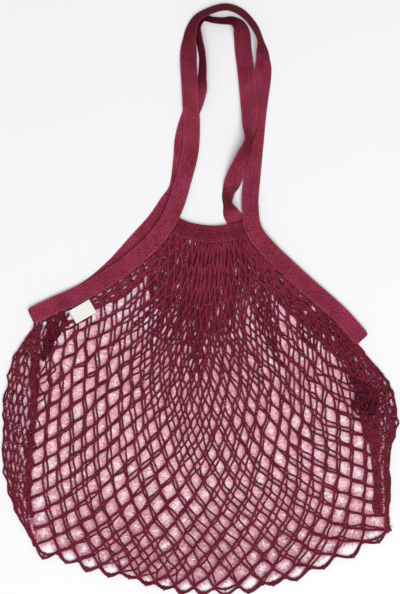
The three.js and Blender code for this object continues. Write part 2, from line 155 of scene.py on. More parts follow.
BACK_TAPE = [
    (-217, -24, 1.1, 0), (-192, -12, 1.1, 0), (-150, 8, 1.1, 0), (-114, 37, 1.1, 0),
    (-83, 71, 1.1, 0), (-57, 100, 1.1, 0), (-42, 122, 1.1, 0), (-30, 140, 1.1, 0),
    (-24, 178, 1.1, 0), (-22, 204, 1.1, 0), (-16, 228, 1.2, 0), (-8, 248, 2.2, 9),
    (0, 266, 6.6, 38), (3, 287, 10.3, 60), (3, 313, 10.8, 67), (-1, 334, 10.8, 68),
    (-3, 350, 10.8, 66), (4, 361, 10.6, 62), (18, 359, 10.6, 60), (30, 358, 10.4, 58),
    (43, 358, 9, 50), (52, 351, 6.6, 34), (55, 339, 2.2, 6), (56, 324, 1.6, 0), (60, 292, 4.6, 0),
    (63, 259, 4.2, 0), (65, 230, 6.6, 16), (63, 202, 12.9, 57), (53, 177, 11, 38),
    (44, 153, 7.2, 0), (37, 135, 9.4, -44), (36, 121, 9.6, -58), (43, 104, 2.9, -8),
    (58, 86, 1.1, 0), (94, 57, 1.1, 0), (136, 18, 1.1, 0), (182, -23, 1.1, 0), (209, -53, 1.1, 0),
]
FRONT_BAND = [
    (-33, 93, 6.4, 0), (-22, 88, 6.4, 0), (-4, 83, 6.4, 0), (16, 81, 6.4, 0), (35, 83, 6.4, 0),
    (60, 88, 6.4, 0),
]
BACK_BAND = [
    (-37, 96, 1.1, 0), (-21, 88, 1.1, 0), (-4, 84, 1.1, 0), (13, 82, 1.1, 0), (29, 82, 1.1, 0),
]

# How the net is spread: a row for each level from the mouth to the bottom, and in it the place of
# the left edge, three meshes and the right edge
SPREAD = [
    [(-38, 90), (-5, 76), (17, 74), (36, 76), (63, 84)],
    [(-70, 52), (-22, 8), (10, 5), (46, 13), (90, 46)],
    [(-113, 14), (-46, -35), (5, -43), (56, -36), (130, 9)],
    [(-164, -12), (-73, -77), (5, -92), (84, -81), (169, -25)],
    [(-205, -38), (-101, -118), (5, -147), (113, -124), (198, -57)],
    [(-211, -114), (-113, -183), (4, -208), (122, -190), (221, -118)],
    [(-220, -192), (-121, -244), (4, -268), (131, -251), (231, -177)],
    [(-223, -260), (-117, -303), (2, -325), (126, -307), (236, -247)],
    [(-214, -322), (-104, -358), (-8, -378), (110, -364), (244, -303)],
]
BACK_MOUTH = [(-46, 83), (-12, 71), (14, 69), (31, 69), (51, 77)]

# How far each mesh of the back layer lies from the front layer's, as shares of a bar along the
# mesh's two directions, in the same rows and columns for every second level
BACK_STEPS = [
    [(0.5, 0.5), (0.5, 0.5), (0.5, 0.5), (0.5, 0.5), (0.5, 0.5)],
    [(0.45, 0.3), (0.5, 0.4), (0.5, 0.5), (0.5, 0.45), (0.4, 0.5)],
    [(0.3, 0.12), (0.3, 0.15), (0.35, 0.3), (0.25, 0.4), (0.2, 0.45)],
    [(0.32, 0.05), (0.1, 0.02), (0.42, 0.08), (0.2, 0.25), (0.12, 0.35)],
    [(0.15, 0.25), (0.4, 0.35), (0.25, 0.35), (0.28, 0.1), (0.2, 0.05)],
]
BACK_WANDER = 0.16
PLEAT_STEPS = {"low pleat": (0.25, 0.75), "high pleat": (0.75, 0.25)}

# Bunched meshes drawn together in a strand: x, y and height of its middle, and its width
BUNCHES = {
    "net_bunch_right": [
        [(60, 68, 3.2, 14), (83, 43, 3.4, 22), (114, 11, 3.4, 32), (145, -21, 3.4, 38),
         (171, -50, 3.6, 38), (193, -75, 4.2, 30), (209, -103, 5.0, 28), (218, -135, 5.5, 30),
         (224, -167, 5.0, 24), (231, -205, 4.4, 18), (234, -251, 4.0, 16), (234, -283, 3.6, 14)],
    ],
    "net_bunch_left": [
        [(-212, -36, 5.0, 8), (-212, -62, 7.0, 9), (-214, -95, 8.3, 8), (-216, -134, 8.3, 8),
         (-218, -173, 7.8, 8), (-221, -212, 7.0, 8), (-223, -251, 6.0, 7), (-221, -283, 5.0, 6)],
        [(-41, 75, 3.4, 14), (-61, 46, 3.4, 20), (-88, 24, 3.4, 19), (-117, 3, 3.3, 14),
         (-142, -11, 3.2, 9)],
    ],
    "net_fold_left": [
        [(-186, -22, 3.4, 26), (-190, -42, 4.0, 21), (-196, -60, 4.4, 12), (-202, -80, 4.4, 6)],
        [(-34, 78, 3.2, 14), (-45, 56, 3.2, 26), (-52, 32, 3.2, 34), (-51, 8, 3.0, 32),
         (-47, -14, 2.8, 18)],
    ],
    "net_fold_right": [
        [(196, -111, 8.0, 10), (213, -115, 9.4, 11), (227, -127, 10.0, 11), (226, -143, 10.0, 11),
         (214, -150, 10.0, 10), (203, -143, 10.0, 9), (206, -130, 10.4, 8), (215, -128, 10.6, 6),
         (217, -136, 10.6, 4)],
    ],
}
BUNCH_ROW = 11.0
BUNCH_COLUMN = 2.6
BUNCH_RISE = 1.6
BUNCH_THICK = 2.9
FEWEST_COLUMNS = 5

# Outer edge of the rolled sides, from the side tip to the bottom corner
ROLL_EDGE = {
    "left": [
        (-217, -43), (-242, -78), (-254, -127), (-256, -177), (-254, -230), (-240, -277),
        (-214, -322),
    ],
    "right": [
        (208, -66), (234, -98), (252, -126), (256, -165), (247, -202), (246, -251), (244, -303),
    ],
}
ROLL_HALF_MESHES = 24
ROLL_THICK = 2.25
ROLL_RISE = 6.0
ROLL_TUCK = {"all": 4, "top": 22, "fade": 1.6}
ROLL_DROP = 1.5
ROLL_ROUND = {"out": 0.8, "up": 0.7}
ROLL_ENDS = {"top": (0.15, 5), "bottom": (0.1, 6)}
INNER_ROLL = {"inside": 3.5, "lower": 0.7, "higher": 0.3, "fewer": 4, "rows": 3}

# How far knots stray in the rolls and the bunches, in plan and in height
ROLL_STRAY = 1.1
BUNCH_STRAY = 1.2
LATTICE_HEIGHT_STRAY = 0.5
LATTICE_GATHER = 0.6
LATTICE_KNOT = 0.9

LABEL = {"x": -152.3, "y": -18.9, "long": 30.0, "wide": 19.5, "turn": 30.0, "high": 6.5,
         "half thick": 0.3, "curl": 0.5, "wave": 0.12}

label_low, label_high = (np.array(corner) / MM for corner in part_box("label"))
SHIFT = np.array([(label_low[0] + label_high[0]) / 2 - LABEL["x"],
                  (label_low[1] + label_high[1]) / 2 - LABEL["y"], 0.0])
chance = np.random.default_rng(SEED)


# Camera: its picture has its scale at a level a little above the floor
PHOTO_SIZE = (400, 594)
PIXEL = 1.3
LENS = 110.0
SENSOR = 36.0
PICTURE_LEVEL = 4
CLIP_METRES = (0.01, 100)

# Studio: half the floor's side and its level, both in metres, the sky's strength and the lamp
FLOOR_METRES = (3.0, -0.0003)
SKY = 0.3
KEY = {"size": 4.0, "energy": 215, "place": (0.5, -1.4, 4.4)}


def make_camera():
    data = bpy.data.cameras.new("camera")
    data.type = "PERSP"
    data.lens = LENS
    data.sensor_width = SENSOR
    camera = bpy.data.objects.new("camera", data)
    bpy.context.collection.objects.link(camera)
    half_height = PHOTO_SIZE[1] * PIXEL * MM / 2
    distance = half_height * LENS / (SENSOR / 2)
    camera.location = (SHIFT[0] * MM, SHIFT[1] * MM, distance + PICTURE_LEVEL * MM)
    data.clip_start, data.clip_end = CLIP_METRES
    bpy.context.scene.camera = camera


# Curves
def with_ends(rows):
    """The rows, with one more past each end of them, so that a curve can run through them all."""
    return np.concatenate([2 * rows[:1] - rows[1:2], rows, 2 * rows[-1:] - rows[-2:-1]])


def catmull(table, place):
    """Smooth curve through the rows of a table, at places from 0 to 1."""
    table = np.asarray(table, float)
    span = len(table) - 1
    whole = np.clip(place, 0, 1) * span
    i = np.minimum(np.floor(whole), span - 1).astype(int)
    t = (whole - i)[..., None]
    rows = with_ends(table)
    if table.ndim == 3:
        pick = np.arange(table.shape[1])
        a, b, c, d = (rows[i + k, pick] for k in range(4))
    else:
        a, b, c, d = (rows[i + k] for k in range(4))
    bend = 2 * a - 5 * b + 4 * c - d
    return b + 0.5 * t * (c - a + t * (bend + t * (3 * (b - c) + d - a)))


def centripetal(points, steps):
    """Even parameter steps of a centripetal curve through plan points, with its directions."""
    points = with_ends(np.asarray(points, float))
    place, way = [], []
    for k in range(len(points) - 3):
        a, b, c, d = points[k:k + 4]
        first, middle, last = (np.sqrt(np.linalg.norm(q - p))
                               for p, q in ((a, b), (b, c), (c, d)))
        start = ((b - a) / first - (c - a) / (first + middle) + (c - b) / middle) * middle
        end = ((c - b) / middle - (d - b) / (middle + last) + (d - c) / last) * middle
        square, cube = 3 * (c - b) - 2 * start - end, 2 * (b - c) + start + end
        final = k == len(points) - 4
        t = np.arange(steps + final)[:, None] / steps
        place.append(b + t * (start + t * (square + t * cube)))
        way.append(start + t * (2 * square + 3 * t * cube))
    return np.concatenate(place), np.concatenate(way)


def smooth(t):
    t = np.clip(t, 0, 1)
    return t * t * (3 - 2 * t)


def unit(v):
    return v / np.maximum(np.linalg.norm(v, axis=-1, keepdims=True), 1e-9)


# Meshes
class Heap:
    """Points, faces and cloth map of many small shapes that become one mesh. The cloth map has a
    place for each corner of each face."""

    def __init__(self):
        self.points, self.faces, self.cloth_map, self.count = [], [], [], 0

    def add(self, points, faces, cloth_map):
        self.points.append(points)
        self.faces.extend((np.asarray(group) + self.count).tolist() for group in faces)
        self.cloth_map.append(cloth_map)
        self.count += len(points)

    def piece(self, name, finish, slot, rounded=True):
        faces = [face for group in self.faces for face in group]
        mesh = bpy.data.meshes.new(name)
        mesh.from_pydata(((np.concatenate(self.points) + SHIFT) * MM).tolist(), [], faces)
        layer = mesh.uv_layers.new(name="cloth")
        cloth_map = np.concatenate(self.cloth_map)
        layer.data.foreach_set("uv", np.asarray(cloth_map, np.float32).ravel())
        mesh.polygons.foreach_set("use_smooth", [rounded] * len(mesh.polygons))
        mesh.materials.append(finish)
        mesh.update()
        piece = bpy.data.objects.new(name, mesh)
        bpy.context.collection.objects.link(piece)
        return piece


def add_yarn(heap, paths, thick, sides=6):
    """Round yarn along each path: paths is an array of yarns, points and coordinates."""
    yarns, steps, _ = paths.shape
    along = unit(np.gradient(paths, axis=1))
    side = unit(np.cross(along, (0.0, 0.0, 1.0)))
    up = np.cross(side, along)
    turn = 2 * np.pi * np.arange(sides) / sides
    radius = np.broadcast_to(np.asarray(thick, float) / 2, (yarns, steps))[..., None, None]
    ring = np.cos(turn)[:, None] * side[:, :, None] + np.sin(turn)[:, None] * up[:, :, None]
    points = (paths[:, :, None] + radius * ring).reshape(-1, 3)
    step, j, y = np.meshgrid(np.arange(steps - 1), np.arange(sides), np.arange(yarns),
                             indexing="ij")
    base = y * steps * sides
    after = (j + 1) % sides
    quads = np.stack([base + step * sides + j, base + (step + 1) * sides + j,
                      base + (step + 1) * sides + after, base + step * sides + after], -1)
    pieces = np.linalg.norm(np.diff(paths, axis=1), axis=2)
    lengths = np.concatenate([np.zeros((yarns, 1)), np.cumsum(pieces, axis=1)], axis=1)
    here, there = lengths[y, step], lengths[y, step + 1]
    around, around_next = j / sides, (j + 1) / sides
    corners = ((around, here), (around, there), (around_next, there), (around_next, here))
    quad_map = np.stack([np.stack(corner, -1) for corner in corners], -2)
    starts = np.arange(yarns)[:, None] * steps * sides + np.arange(sides)
    ends = starts[:, ::-1] + (steps - 1) * sides
    caps = np.zeros((2 * yarns * sides, 2))
    heap.add(points, [quads.reshape(-1, 4), starts, ends],
             np.concatenate([quad_map.reshape(-1, 2), caps]))


def add_knots(heap, centres, along, sizes, rows=5, columns=7):
    """A small lump of turned yarn at each centre, longer along the mesh."""
    lift = np.pi * np.arange(1, rows) / rows
    turn = 2 * np.pi * np.arange(columns) / columns
    ball = np.array([(math.sin(a) * math.cos(b), math.sin(a) * math.sin(b), math.cos(a))
                     for a in lift for b in turn] + [(0, 0, 1), (0, 0, -1)])
    twist = 1 + KNOT_TWIST * np.cos(3 * np.arctan2(ball[:, 1], ball[:, 0]) + 4 * ball[:, 2])
    ball = ball * twist[:, None]
    along = unit(along)
    side = unit(np.cross(along, (0.0, 0.0, 1.0)))
    up = np.cross(side, along)
    sizes = np.broadcast_to(np.asarray(sizes, float), (len(centres), 3))
    lowest = sizes[:, 1] * (1 + KNOT_TWIST) + FLOOR_GAP
    centres = np.column_stack([centres[:, :2], np.maximum(centres[:, 2], lowest)])
    local = ball[None] * sizes[:, None]
    points = (centres[:, None] + local[..., :1] * side[:, None]
              + local[..., 1:2] * up[:, None] + local[..., 2:] * along[:, None])
    quads, tips = [], []
    for a in range(rows - 2):
        for b in range(columns):
            c = (b + 1) % columns
            quads.append((a * columns + b, (a + 1) * columns + b,
                          (a + 1) * columns + c, a * columns + c))
    top, low = (rows - 1) * columns, (rows - 1) * columns + 1
    for b in range(columns):
        c = (b + 1) % columns
        tips.append((top, b, c))
        tips.append((low, (rows - 2) * columns + c, (rows - 2) * columns + b))
    start = np.arange(len(centres))[:, None, None] * len(ball)
    quads = (start + np.array(quads)).reshape(-1, 4)
    tips = (start + np.array(tips)).reshape(-1, 3)
    reach = 2 * KNOT["along"]
    where = (np.arctan2(ball[:, 1], ball[:, 0]) / (2 * np.pi) + 0.5, (ball[:, 2] + 1) / 2 * reach)
    where = np.tile(np.stack(where, -1), (len(centres), 1))
    corners = np.concatenate([quads.ravel(), tips.ravel()])
    heap.add(points.reshape(-1, 3), [quads, tips], where[corners])


# Tapes
def lengths_along(points):
    """Length from the first point to each point."""
    return np.concatenate([[0], np.cumsum(np.linalg.norm(np.diff(points, axis=0), axis=1))])


def tape_course(rows):
    """Even steps along a tape: middle, direction across and out of its face, length so far."""
    rows = np.asarray(rows, float)
    plan, way = centripetal(rows[:, :2], STEPS_PER_STATION)
    places = np.arange(len(plan)) / STEPS_PER_STATION
    k = np.minimum(places.astype(int), len(rows) - 2)
    share = smooth(places - k)
    height = rows[k, 2] + (rows[k + 1, 2] - rows[k, 2]) * share
    roll = np.radians(rows[k, 3] + (rows[k + 1, 3] - rows[k, 3]) * share)
    lean = np.abs(np.sin(roll))
    reach = np.maximum(lean * TAPE_WIDTH / 2,
                       lean * (TAPE_WIDTH / 2 - 1) + np.cos(roll) * TAPE_THICK / 2)
    middle = np.column_stack([plan, np.maximum(height, reach)])
    length = lengths_along(middle)
    even = np.linspace(0, length[-1], int(length[-1] / TAPE_STEP) + 1)

    def spaced(values):
        return np.column_stack([np.interp(even, length, column) for column in values.T])

    middle, way = spaced(middle), unit(spaced(way))
    roll = np.interp(even, length, roll)[:, None]
    level = np.column_stack([way[:, 1], -way[:, 0], np.zeros(len(way))])
    across = level * np.cos(roll) + np.array([0.0, 0.0, 1.0]) * np.sin(roll)
    out = unit(np.cross(across, np.column_stack([way, np.zeros(len(way))])))
    return middle, across, out, even


def tape_edge(rows, clearance):
    """Points along the tape's edge towards the net."""
    middle, across, _, _ = tape_course(rows)
    return (middle + across * (TAPE_WIDTH / 2 + clearance))[:, :2]


def tape_piece(name, course, finish, round_tips=False):
    """Closed ribbed tape along a course; a strap is rounded off at its two tips."""
    middle, across, out, even = course
    half = TAPE_WIDTH / 2
    side = -np.cos(np.pi * np.arange(TAPE_ACROSS) / (TAPE_ACROSS - 1)) * half
    ribs = RIB_HEIGHT * np.cos(2 * np.pi * side / RIB_PITCH)
    top = (TAPE_THICK / 2 * np.sqrt(1 - (np.abs(side) / half) ** EDGE_POWER)
           + ribs * (np.abs(side) < half * RIBBED_SHARE))
    section = np.concatenate([np.stack([side, top], -1), np.stack([side, -top], -1)[-2:0:-1]])
    sides = len(section)
    share = np.ones(len(even))
    if round_tips:
        from_tip = np.clip(np.minimum(even, even[-1] - even) / TIP_ROUND, 0, 1)
        share = TIP_SHARE + (1 - TIP_SHARE) * np.sin(np.pi / 2 * from_tip) ** TIP_POWER
    points = (middle[:, None] + (section[:, 0] * share[:, None])[..., None] * across[:, None]
              + section[None, :, 1:] * out[:, None])
    points[..., 2] = np.maximum(points[..., 2], TAPE_LOWEST)
    k, j = np.meshgrid(np.arange(len(middle) - 1), np.arange(sides), indexing="ij")
    after = (j + 1) % sides
    quads = np.stack([k * sides + j, k * sides + after,
                      (k + 1) * sides + after, (k + 1) * sides + j], -1)
    corners = ((j, k), (after, k), (after, k + 1), (j, k + 1))
    quad_map = np.stack([np.stack([section[a, 0], even[b]], -1) for a, b in corners], -2)
    last = (len(middle) - 1) * sides
    caps = [np.arange(sides)[None, ::-1], last + np.arange(sides)[None]]
    cap_map = np.concatenate([np.stack([section[::-1, 0], np.zeros(sides)], -1),
                              np.stack([section[:, 0], np.full(sides, even[-1])], -1)])
    heap = Heap()
    heap.add(points.reshape(-1, 3), [quads.reshape(-1, 4), *caps],
             np.concatenate([quad_map.reshape(-1, 2), cap_map]))
    return heap.piece(name, finish, "handle_tape")


def with_folds(course, low):
    """A front tape's course with both ends turned down round the side tips, to the back tape."""
    middle, across, out, even = course
    radius = (middle[0, 2] - low) / 2
    turns = np.radians(np.arange(TURN_DEGREES, 181, TURN_DEGREES))
    parts = []
    for end, sign in ((0, -1), (-1, 1)):
        side = across[end]
        way = sign * np.cross(out[end], side)
        centre = middle[end] - out[end] * radius
        face = np.array([np.cos(t) * out[end] + np.sin(t) * way for t in turns])
        parts.append((centre + radius * face, np.repeat(side[None], len(turns), 0), face))
    start, finish = parts
    middle = np.concatenate([start[0][::-1], middle, finish[0]])
    across = np.concatenate([start[1], across, finish[1]])
    out = np.concatenate([start[2][::-1], out, finish[2]])
    return middle, across, out, lengths_along(middle)


# The spread net
def half_meshes(row):
    """Half meshes from the net's middle to its edge."""
    row = np.asarray(row, float)
    return MOUTH_HALF_MESHES + np.where(row <= TIP_ROW, row, 2 * TIP_ROW - row)


def level_of(row):
    """Level at which a row of meshes lies."""
    row = np.asarray(row, float)
    past_tip = (row - TIP_ROW) / (BOTTOM_ROW - TIP_ROW)
    return np.where(row <= TIP_ROW, row / TIP_ROW, 1 + past_tip)


def half_meshes_at(level):
    past_tip = (level - 1) * (BOTTOM_ROW - TIP_ROW)
    return half_meshes(np.where(level <= 1, level * TIP_ROW, TIP_ROW + past_tip))


class Layer:
    """One layer of the net: where each mesh of it lies."""

    def __init__(self, kind):
        self.kind = kind
        self.low, self.bunched = HEIGHTS[kind]
        back = kind == "back"
        self.rows = np.array([BACK_MOUTH] + SPREAD[1:] if back else SPREAD, float)
        rows, clearance = (BACK_TAPE, BACK_CLEAR) if back else (FRONT_TAPE, -FRONT_TUCK)
        self.edge = tape_edge(rows, clearance)

    def spread(self, share, level):
        """Place of points given by their share across, from -1 to 1, and their level."""
        share, level = np.broadcast_arrays(np.asarray(share, float), np.asarray(level, float))
        courses = np.stack([catmull(row, (share + 1) / 2) for row in self.rows])
        return catmull(courses, level / 2)

    def steps(self, share, level):
        """How far the meshes have slipped from the front layer's, along their two directions."""
        if self.kind == "front":
            return np.zeros((len(share), 2))
        if self.kind in PLEAT_STEPS:
            return np.tile(PLEAT_STEPS[self.kind], (len(share), 1))
        courses = np.stack([catmull(np.array(row), (share + 1) / 2) for row in BACK_STEPS])
        wander = np.stack([np.sin(5.3 * share + 7.1 * level + 1),
                           np.sin(6.7 * share - 5.9 * level + 2.5)], -1)
        open_net = smooth((level - 0.4) * 3)
        return catmull(courses, level / 2) + BACK_WANDER * wander * open_net[:, None]

    def place(self, column, row):
        """Place of meshes given by their column and row, slipped where the layer is."""
        level = level_of(row)
        share = np.clip(column / half_meshes(row), -1, 1)
        held = (1 - np.abs(share) ** EDGE_HOLD) * smooth(level / HELD_LEVEL)
        first, second = self.steps(share, level).T * (held * smooth((2 - level) / HELD_LEVEL))
        column = column + first + second
        row = np.clip(row + second - first, 0, BOTTOM_ROW)
        return self.spread(np.clip(column / half_meshes(row), -1, 1), level_of(row))


def gather_of(level):
    """1 where the net is bunched by the mouth, 0 where it lies open."""
    return 1 - smooth((np.asarray(level) - GATHER["from"]) / GATHER["over"])


def pleated(share, level):
    """Where the bag's middle and its sides are folded into pleats."""
    wander = 0.05 * np.sin(9 * share + 2) + 0.04 * np.sin(23 * share)
    strand = np.floor(share * half_meshes_at(level) / 2 + 0.01).astype(int)
    hangs = np.random.default_rng(SEED).random(4 * BOTTOM_ROW)[strand] ** HANG["power"]
    hangs = HANG["more"] * hangs * (np.abs(share) < HANG["within"])
    middle = level < HANG["least"] + wander + hangs
    right = share > (RIGHT_PLEATS["share"] + RIGHT_PLEATS["slant"] * level
                     + 0.05 * np.sin(14 * level))
    left = share < LEFT_PLEATS["share"] + 0.04 * np.sin(17 * level)
    return middle | right & (level < RIGHT_PLEATS["level"]) | left & (level < LEFT_PLEATS["level"])


def joins(where):
    """Start and end numbers of the bars between neighbouring knots."""
    starts, ends = [], []
    for (c, r), i in where.items():
        for step in (-1, 1):
            if (c + step, r + 1) in where:
                starts.append(i)
                ends.append(where[(c + step, r + 1)])
    return np.array(starts), np.array(ends)


def layer_knots(layer, column, row, rim, gather):
    """Places of a layer's knots, with their strays, and the way down the net at each."""
    knots = layer.place(column, row)
    for i in np.nonzero(rim)[0]:
        nearest = np.argmin(np.linalg.norm(layer.edge - knots[i], axis=1))
        knots[i] = layer.edge[nearest]
    ahead, behind = np.minimum(row + 0.5, BOTTOM_ROW), np.maximum(row - 0.5, 0)
    down = layer.place(column, ahead) - layer.place(column, behind)
    level = level_of(row)
    stray = (KNOT_STRAY - BUNCHED_STRAY_LESS * gather)[:, None]
    knots = knots + chance.normal(0, 1, knots.shape) * stray * ~rim[:, None]
    phase = chance.uniform(0, 2 * np.pi, 4 * BOTTOM_ROW)[column.astype(int)]
    free = smooth(level / FREE_LEVEL) * (1 - np.abs(column / half_meshes(row)) ** EDGE_HOLD)
    way = unit(down)
    side = np.column_stack([way[:, 1], -way[:, 0]])
    slip = SLIP * gather * free * np.sin(phase + SLIP_TURN * row)
    turn = DRIFT_TURNS[0] * phase + DRIFT_TURNS[1] * row
    drift = DRIFT * (1 - gather) * free * np.sin(turn)
    knots = knots + way * slip[:, None] + side * drift[:, None]
    raised = gather * smooth(level / RAISED_LEVEL) * ~rim
    high = (layer.low + (layer.bunched - layer.low) * raised
            + chance.normal(0, HEIGHT_STRAY, len(knots)))
    knots = np.column_stack([knots, np.maximum(high, YARN_THICK / 2 + FLOOR_GAP)])
    return knots, unit(np.column_stack([down, np.zeros(len(down))]))


def net_layer(name, kind, finish, keep=None):
    """One layer of knotted yarn, and the courses of its bars that carry loose fibres."""
    layer = Layer(kind)
    front = kind == "front"
    places = [(c, r) for r in range(BOTTOM_ROW + 1)
              for c in range(-int(half_meshes(r)), int(half_meshes(r)) + 1, 2)]
    column, row = np.array(places, float).T
    if keep:
        chosen = keep(column / half_meshes(row), level_of(row))
        column, row = column[chosen], row[chosen]
    where = {(int(c), int(r)): i for i, (c, r) in enumerate(zip(column, row))}
    rim = (np.abs(column) == half_meshes(row)) & (row > 0) & (row <= TIP_ROW)
    level = level_of(row)
    gather = gather_of(level)
    knots, down = layer_knots(layer, column, row, rim, gather)
    starts, ends = joins(where)
    paths = mesh_bars(knots[starts], knots[ends], down[starts], down[ends], gather[starts], front)
    heap = Heap()
    single, bunched = (YARN_THICK, BUNCHED_THICK) if front else (BACK_THICK, PLEAT_THICK)
    thick = single + (bunched - single) * np.maximum(gather[starts], kind in PLEAT_STEPS)
    paths[..., 2] = np.maximum(paths[..., 2], thick[:, None] / 2 + FLOOR_GAP)
    add_yarn(heap, paths, (thick * (1 - THINNER * chance.random(len(paths))))[:, None])
    inner = ~((row == 0) | rim)
    size = KNOT_SIZES * (1 - BUNCHED_KNOT_LESS * gather[inner, None])
    add_knots(heap, knots[inner], down[inner],
              size * chance.uniform(*KNOT_SPREAD, (inner.sum(), 1)))
    if not keep:
        last = int(half_meshes(BOTTOM_ROW))
        bottom = [where[(c, BOTTOM_ROW)] for c in range(-last, last + 1, 2)]
        add_scallops(heap, knots[bottom], down[bottom], SAG[kind])
    piece = heap.piece(name, finish, "net_yarn")
    if front:
        loose = (gather < FIBRES_BELOW_GATHER) & ~pleated(column / half_meshes(row), level)
        paths = paths[loose[starts]]
    return piece, paths


def mesh_bars(start, end, way_start, way_end, gather, lively, steps=7):
    """Yarn between knots: it leaves each knot along the mesh and bows towards the next."""
    chord = end - start
    length = np.linalg.norm(chord, axis=1, keepdims=True)
    pull = (PULL[0] + PULL[1] * chance.random(len(start)) + PULL[2] * gather)[:, None]
    leave = unit(way_start * pull + unit(chord) * (1 - pull)) * length
    arrive = unit(way_end * pull + unit(chord) * (1 - pull)) * length
    t = np.linspace(0, 1, steps)[None, :, None]
    a, b, m, n = (v[:, None] for v in (start, end, leave, arrive))
    path = (a * (1 - 3 * t ** 2 + 2 * t ** 3) + b * (3 * t ** 2 - 2 * t ** 3)
            + m * (t - 2 * t ** 2 + t ** 3) + n * (t ** 3 - t ** 2))
    belly = np.sin(np.pi * t[0, :, 0])
    sway = chance.normal(0, BAR_SWAY, len(start))[:, None] * belly * (1 - 0.4 * gather)[:, None]
    side = unit(np.cross(chord, (0.0, 0.0, 1.0)))
    path = path + side[:, None] * sway[..., None]
    rise = chance.uniform(*BAR_RISE, len(start))
    if lively:
        rise = rise + gather * chance.uniform(*BUNCHED_RISE, len(start))
    lowest = YARN_THICK / 2 + FLOOR_GAP / 2
    path[..., 2] = np.maximum(path[..., 2] + rise[:, None] * belly, lowest)
    return path


def add_scallops(heap, knots, down, sag):
    """Loops of yarn that hang between the last knots, along the bottom edge."""
    t = np.linspace(0, 1, 12)[None, :, None]
    a, b = knots[:-1, None], knots[1:, None]
    way = unit(down[:-1] + down[1:] + np.array([0.0, -1.0, 0.0]))[:, None]
    stray = 1 + SAG_STRAY * chance.normal(0, 1, (len(knots) - 1, 1))
    depth = sag * np.clip(stray, *SAG_RANGE)
    drop = depth[..., None] * np.sin(np.pi * t) ** SAG_POWER
    add_yarn(heap, a + (b - a) * t + way * drop, YARN_THICK * SAG_THICKER)
    lowest = (a + (b - a) * 0.5 + way * depth[..., None])[:, 0]
    add_knots(heap, lowest, down[:-1], KNOT_SIZES)


def add_lattice(heap, place, columns, rows, jitter, thick, knotted=True):
    """Meshes over a strip; place gives points from their shares across it and along it."""
    pairs = [(k, j) for j in range(rows + 1) for k in range(columns + 1) if (k + j) % 2 == 0]
    k, j = np.array(pairs, float).T
    share, along = k / columns, j / rows
    knots = place(share, along)
    knots[:, :2] += chance.normal(0, jitter, (len(knots), 2))
    high = knots[:, 2] + chance.normal(0, LATTICE_HEIGHT_STRAY, len(knots))
    knots[:, 2] = np.maximum(high, YARN_THICK / 2 + FLOOR_GAP)
    ahead, behind = np.minimum(along + 0.5 / rows, 1), np.maximum(along - 0.5 / rows, 0)
    down = unit(place(share, ahead) - place(share, behind))
    starts, ends = joins({pair: i for i, pair in enumerate(pairs)})
    bunched = np.full(len(starts), LATTICE_GATHER)
    paths = mesh_bars(knots[starts], knots[ends], down[starts], down[ends], bunched, False, 6)
    add_yarn(heap, paths, thick)
    if knotted:
        add_knots(heap, knots, down, KNOT_SIZES * LATTICE_KNOT * thick / YARN_THICK, columns=6)
    return paths


def roll_piece(name, front, finish):
    """Bunched meshes along one side, rolled round from the front layer to the back layer."""
    sign = -1 if name.endswith("left") else 1
    edge_table = np.array(ROLL_EDGE["left" if sign < 0 else "right"], float)
    rows = 2 * (BOTTOM_ROW - TIP_ROW) - 2
    front_high, back_high = HEIGHTS["front"][0], HEIGHTS["back"][0]

    def around(inside):
        def place(share, along):
            edge = catmull(edge_table, along)
            valley = front.spread(np.full(len(along), float(sign)), 1 + along)
            tuck = ROLL_TUCK["top"] * (1 - smooth(along * ROLL_TUCK["fade"])) + ROLL_TUCK["all"]
            inner = valley + unit(valley - edge) * tuck[:, None]
            edge = edge + unit(valley - edge) * inside
            out = np.minimum(2 * share, 1) ** ROLL_ROUND["out"]
            back_out = np.minimum(2 - 2 * share, 1) ** ROLL_ROUND["out"]
            on_top = share <= 0.5
            plan = np.where(on_top[:, None], valley + (edge - valley) * out[:, None],
                            inner + (edge - inner) * back_out[:, None])
            (least, steep), (last_least, last_steep) = ROLL_ENDS["top"], ROLL_ENDS["bottom"]
            swell = (ROLL_RISE * smooth(least + along * steep)
                     * smooth((1 - along) * last_steep + last_least))
            rise = np.sin(np.clip(share * 2, 0, 1) * np.pi) ** ROLL_ROUND["up"]
            upper = (front_high + swell * rise - ROLL_DROP * smooth(share * 2)
                     - INNER_ROLL["lower"] * inside)
            lower = back_high + INNER_ROLL["higher"] * inside
            return np.column_stack([plan, np.where(on_top, upper, lower)])
        return place

    heap = Heap()
    paths = add_lattice(heap, around(0.0), ROLL_HALF_MESHES, rows, ROLL_STRAY, ROLL_THICK)
    if sign > 0:
        add_lattice(heap, around(INNER_ROLL["inside"]), ROLL_HALF_MESHES // INNER_ROLL["fewer"],
                    rows - INNER_ROLL["rows"], BUNCH_STRAY, ROLL_THICK, knotted=False)
    return heap.piece(name, finish, "net_yarn"), paths


def bunch_piece(name, finish):
    """Strands of closed meshes that lie along the bands and the rolled sides."""
    heap = Heap()
    for table in BUNCHES[name]:
        table = np.array(table, float)
        length = np.linalg.norm(np.diff(table[:, :2], axis=0), axis=1).sum()

        def place(share, along, table=table):
            row = catmull(table, along)
            ahead = (catmull(table, np.minimum(along + 0.01, 1))
                     - catmull(table, np.maximum(along - 0.01, 0)))
            side = unit(np.column_stack([ahead[:, 1], -ahead[:, 0]]))
            plan = row[:, :2] + side * ((share - 0.5) * row[:, 3])[:, None]
            return np.column_stack([plan, row[:, 2] + BUNCH_RISE * np.sin(np.pi * share)])

        columns = max(FEWEST_COLUMNS, int(table[:, 3].max() / BUNCH_COLUMN))
        add_lattice(heap, place, columns, int(length / BUNCH_ROW), BUNCH_STRAY, BUNCH_THICK)
    return heap.piece(name, finish, "net_yarn")


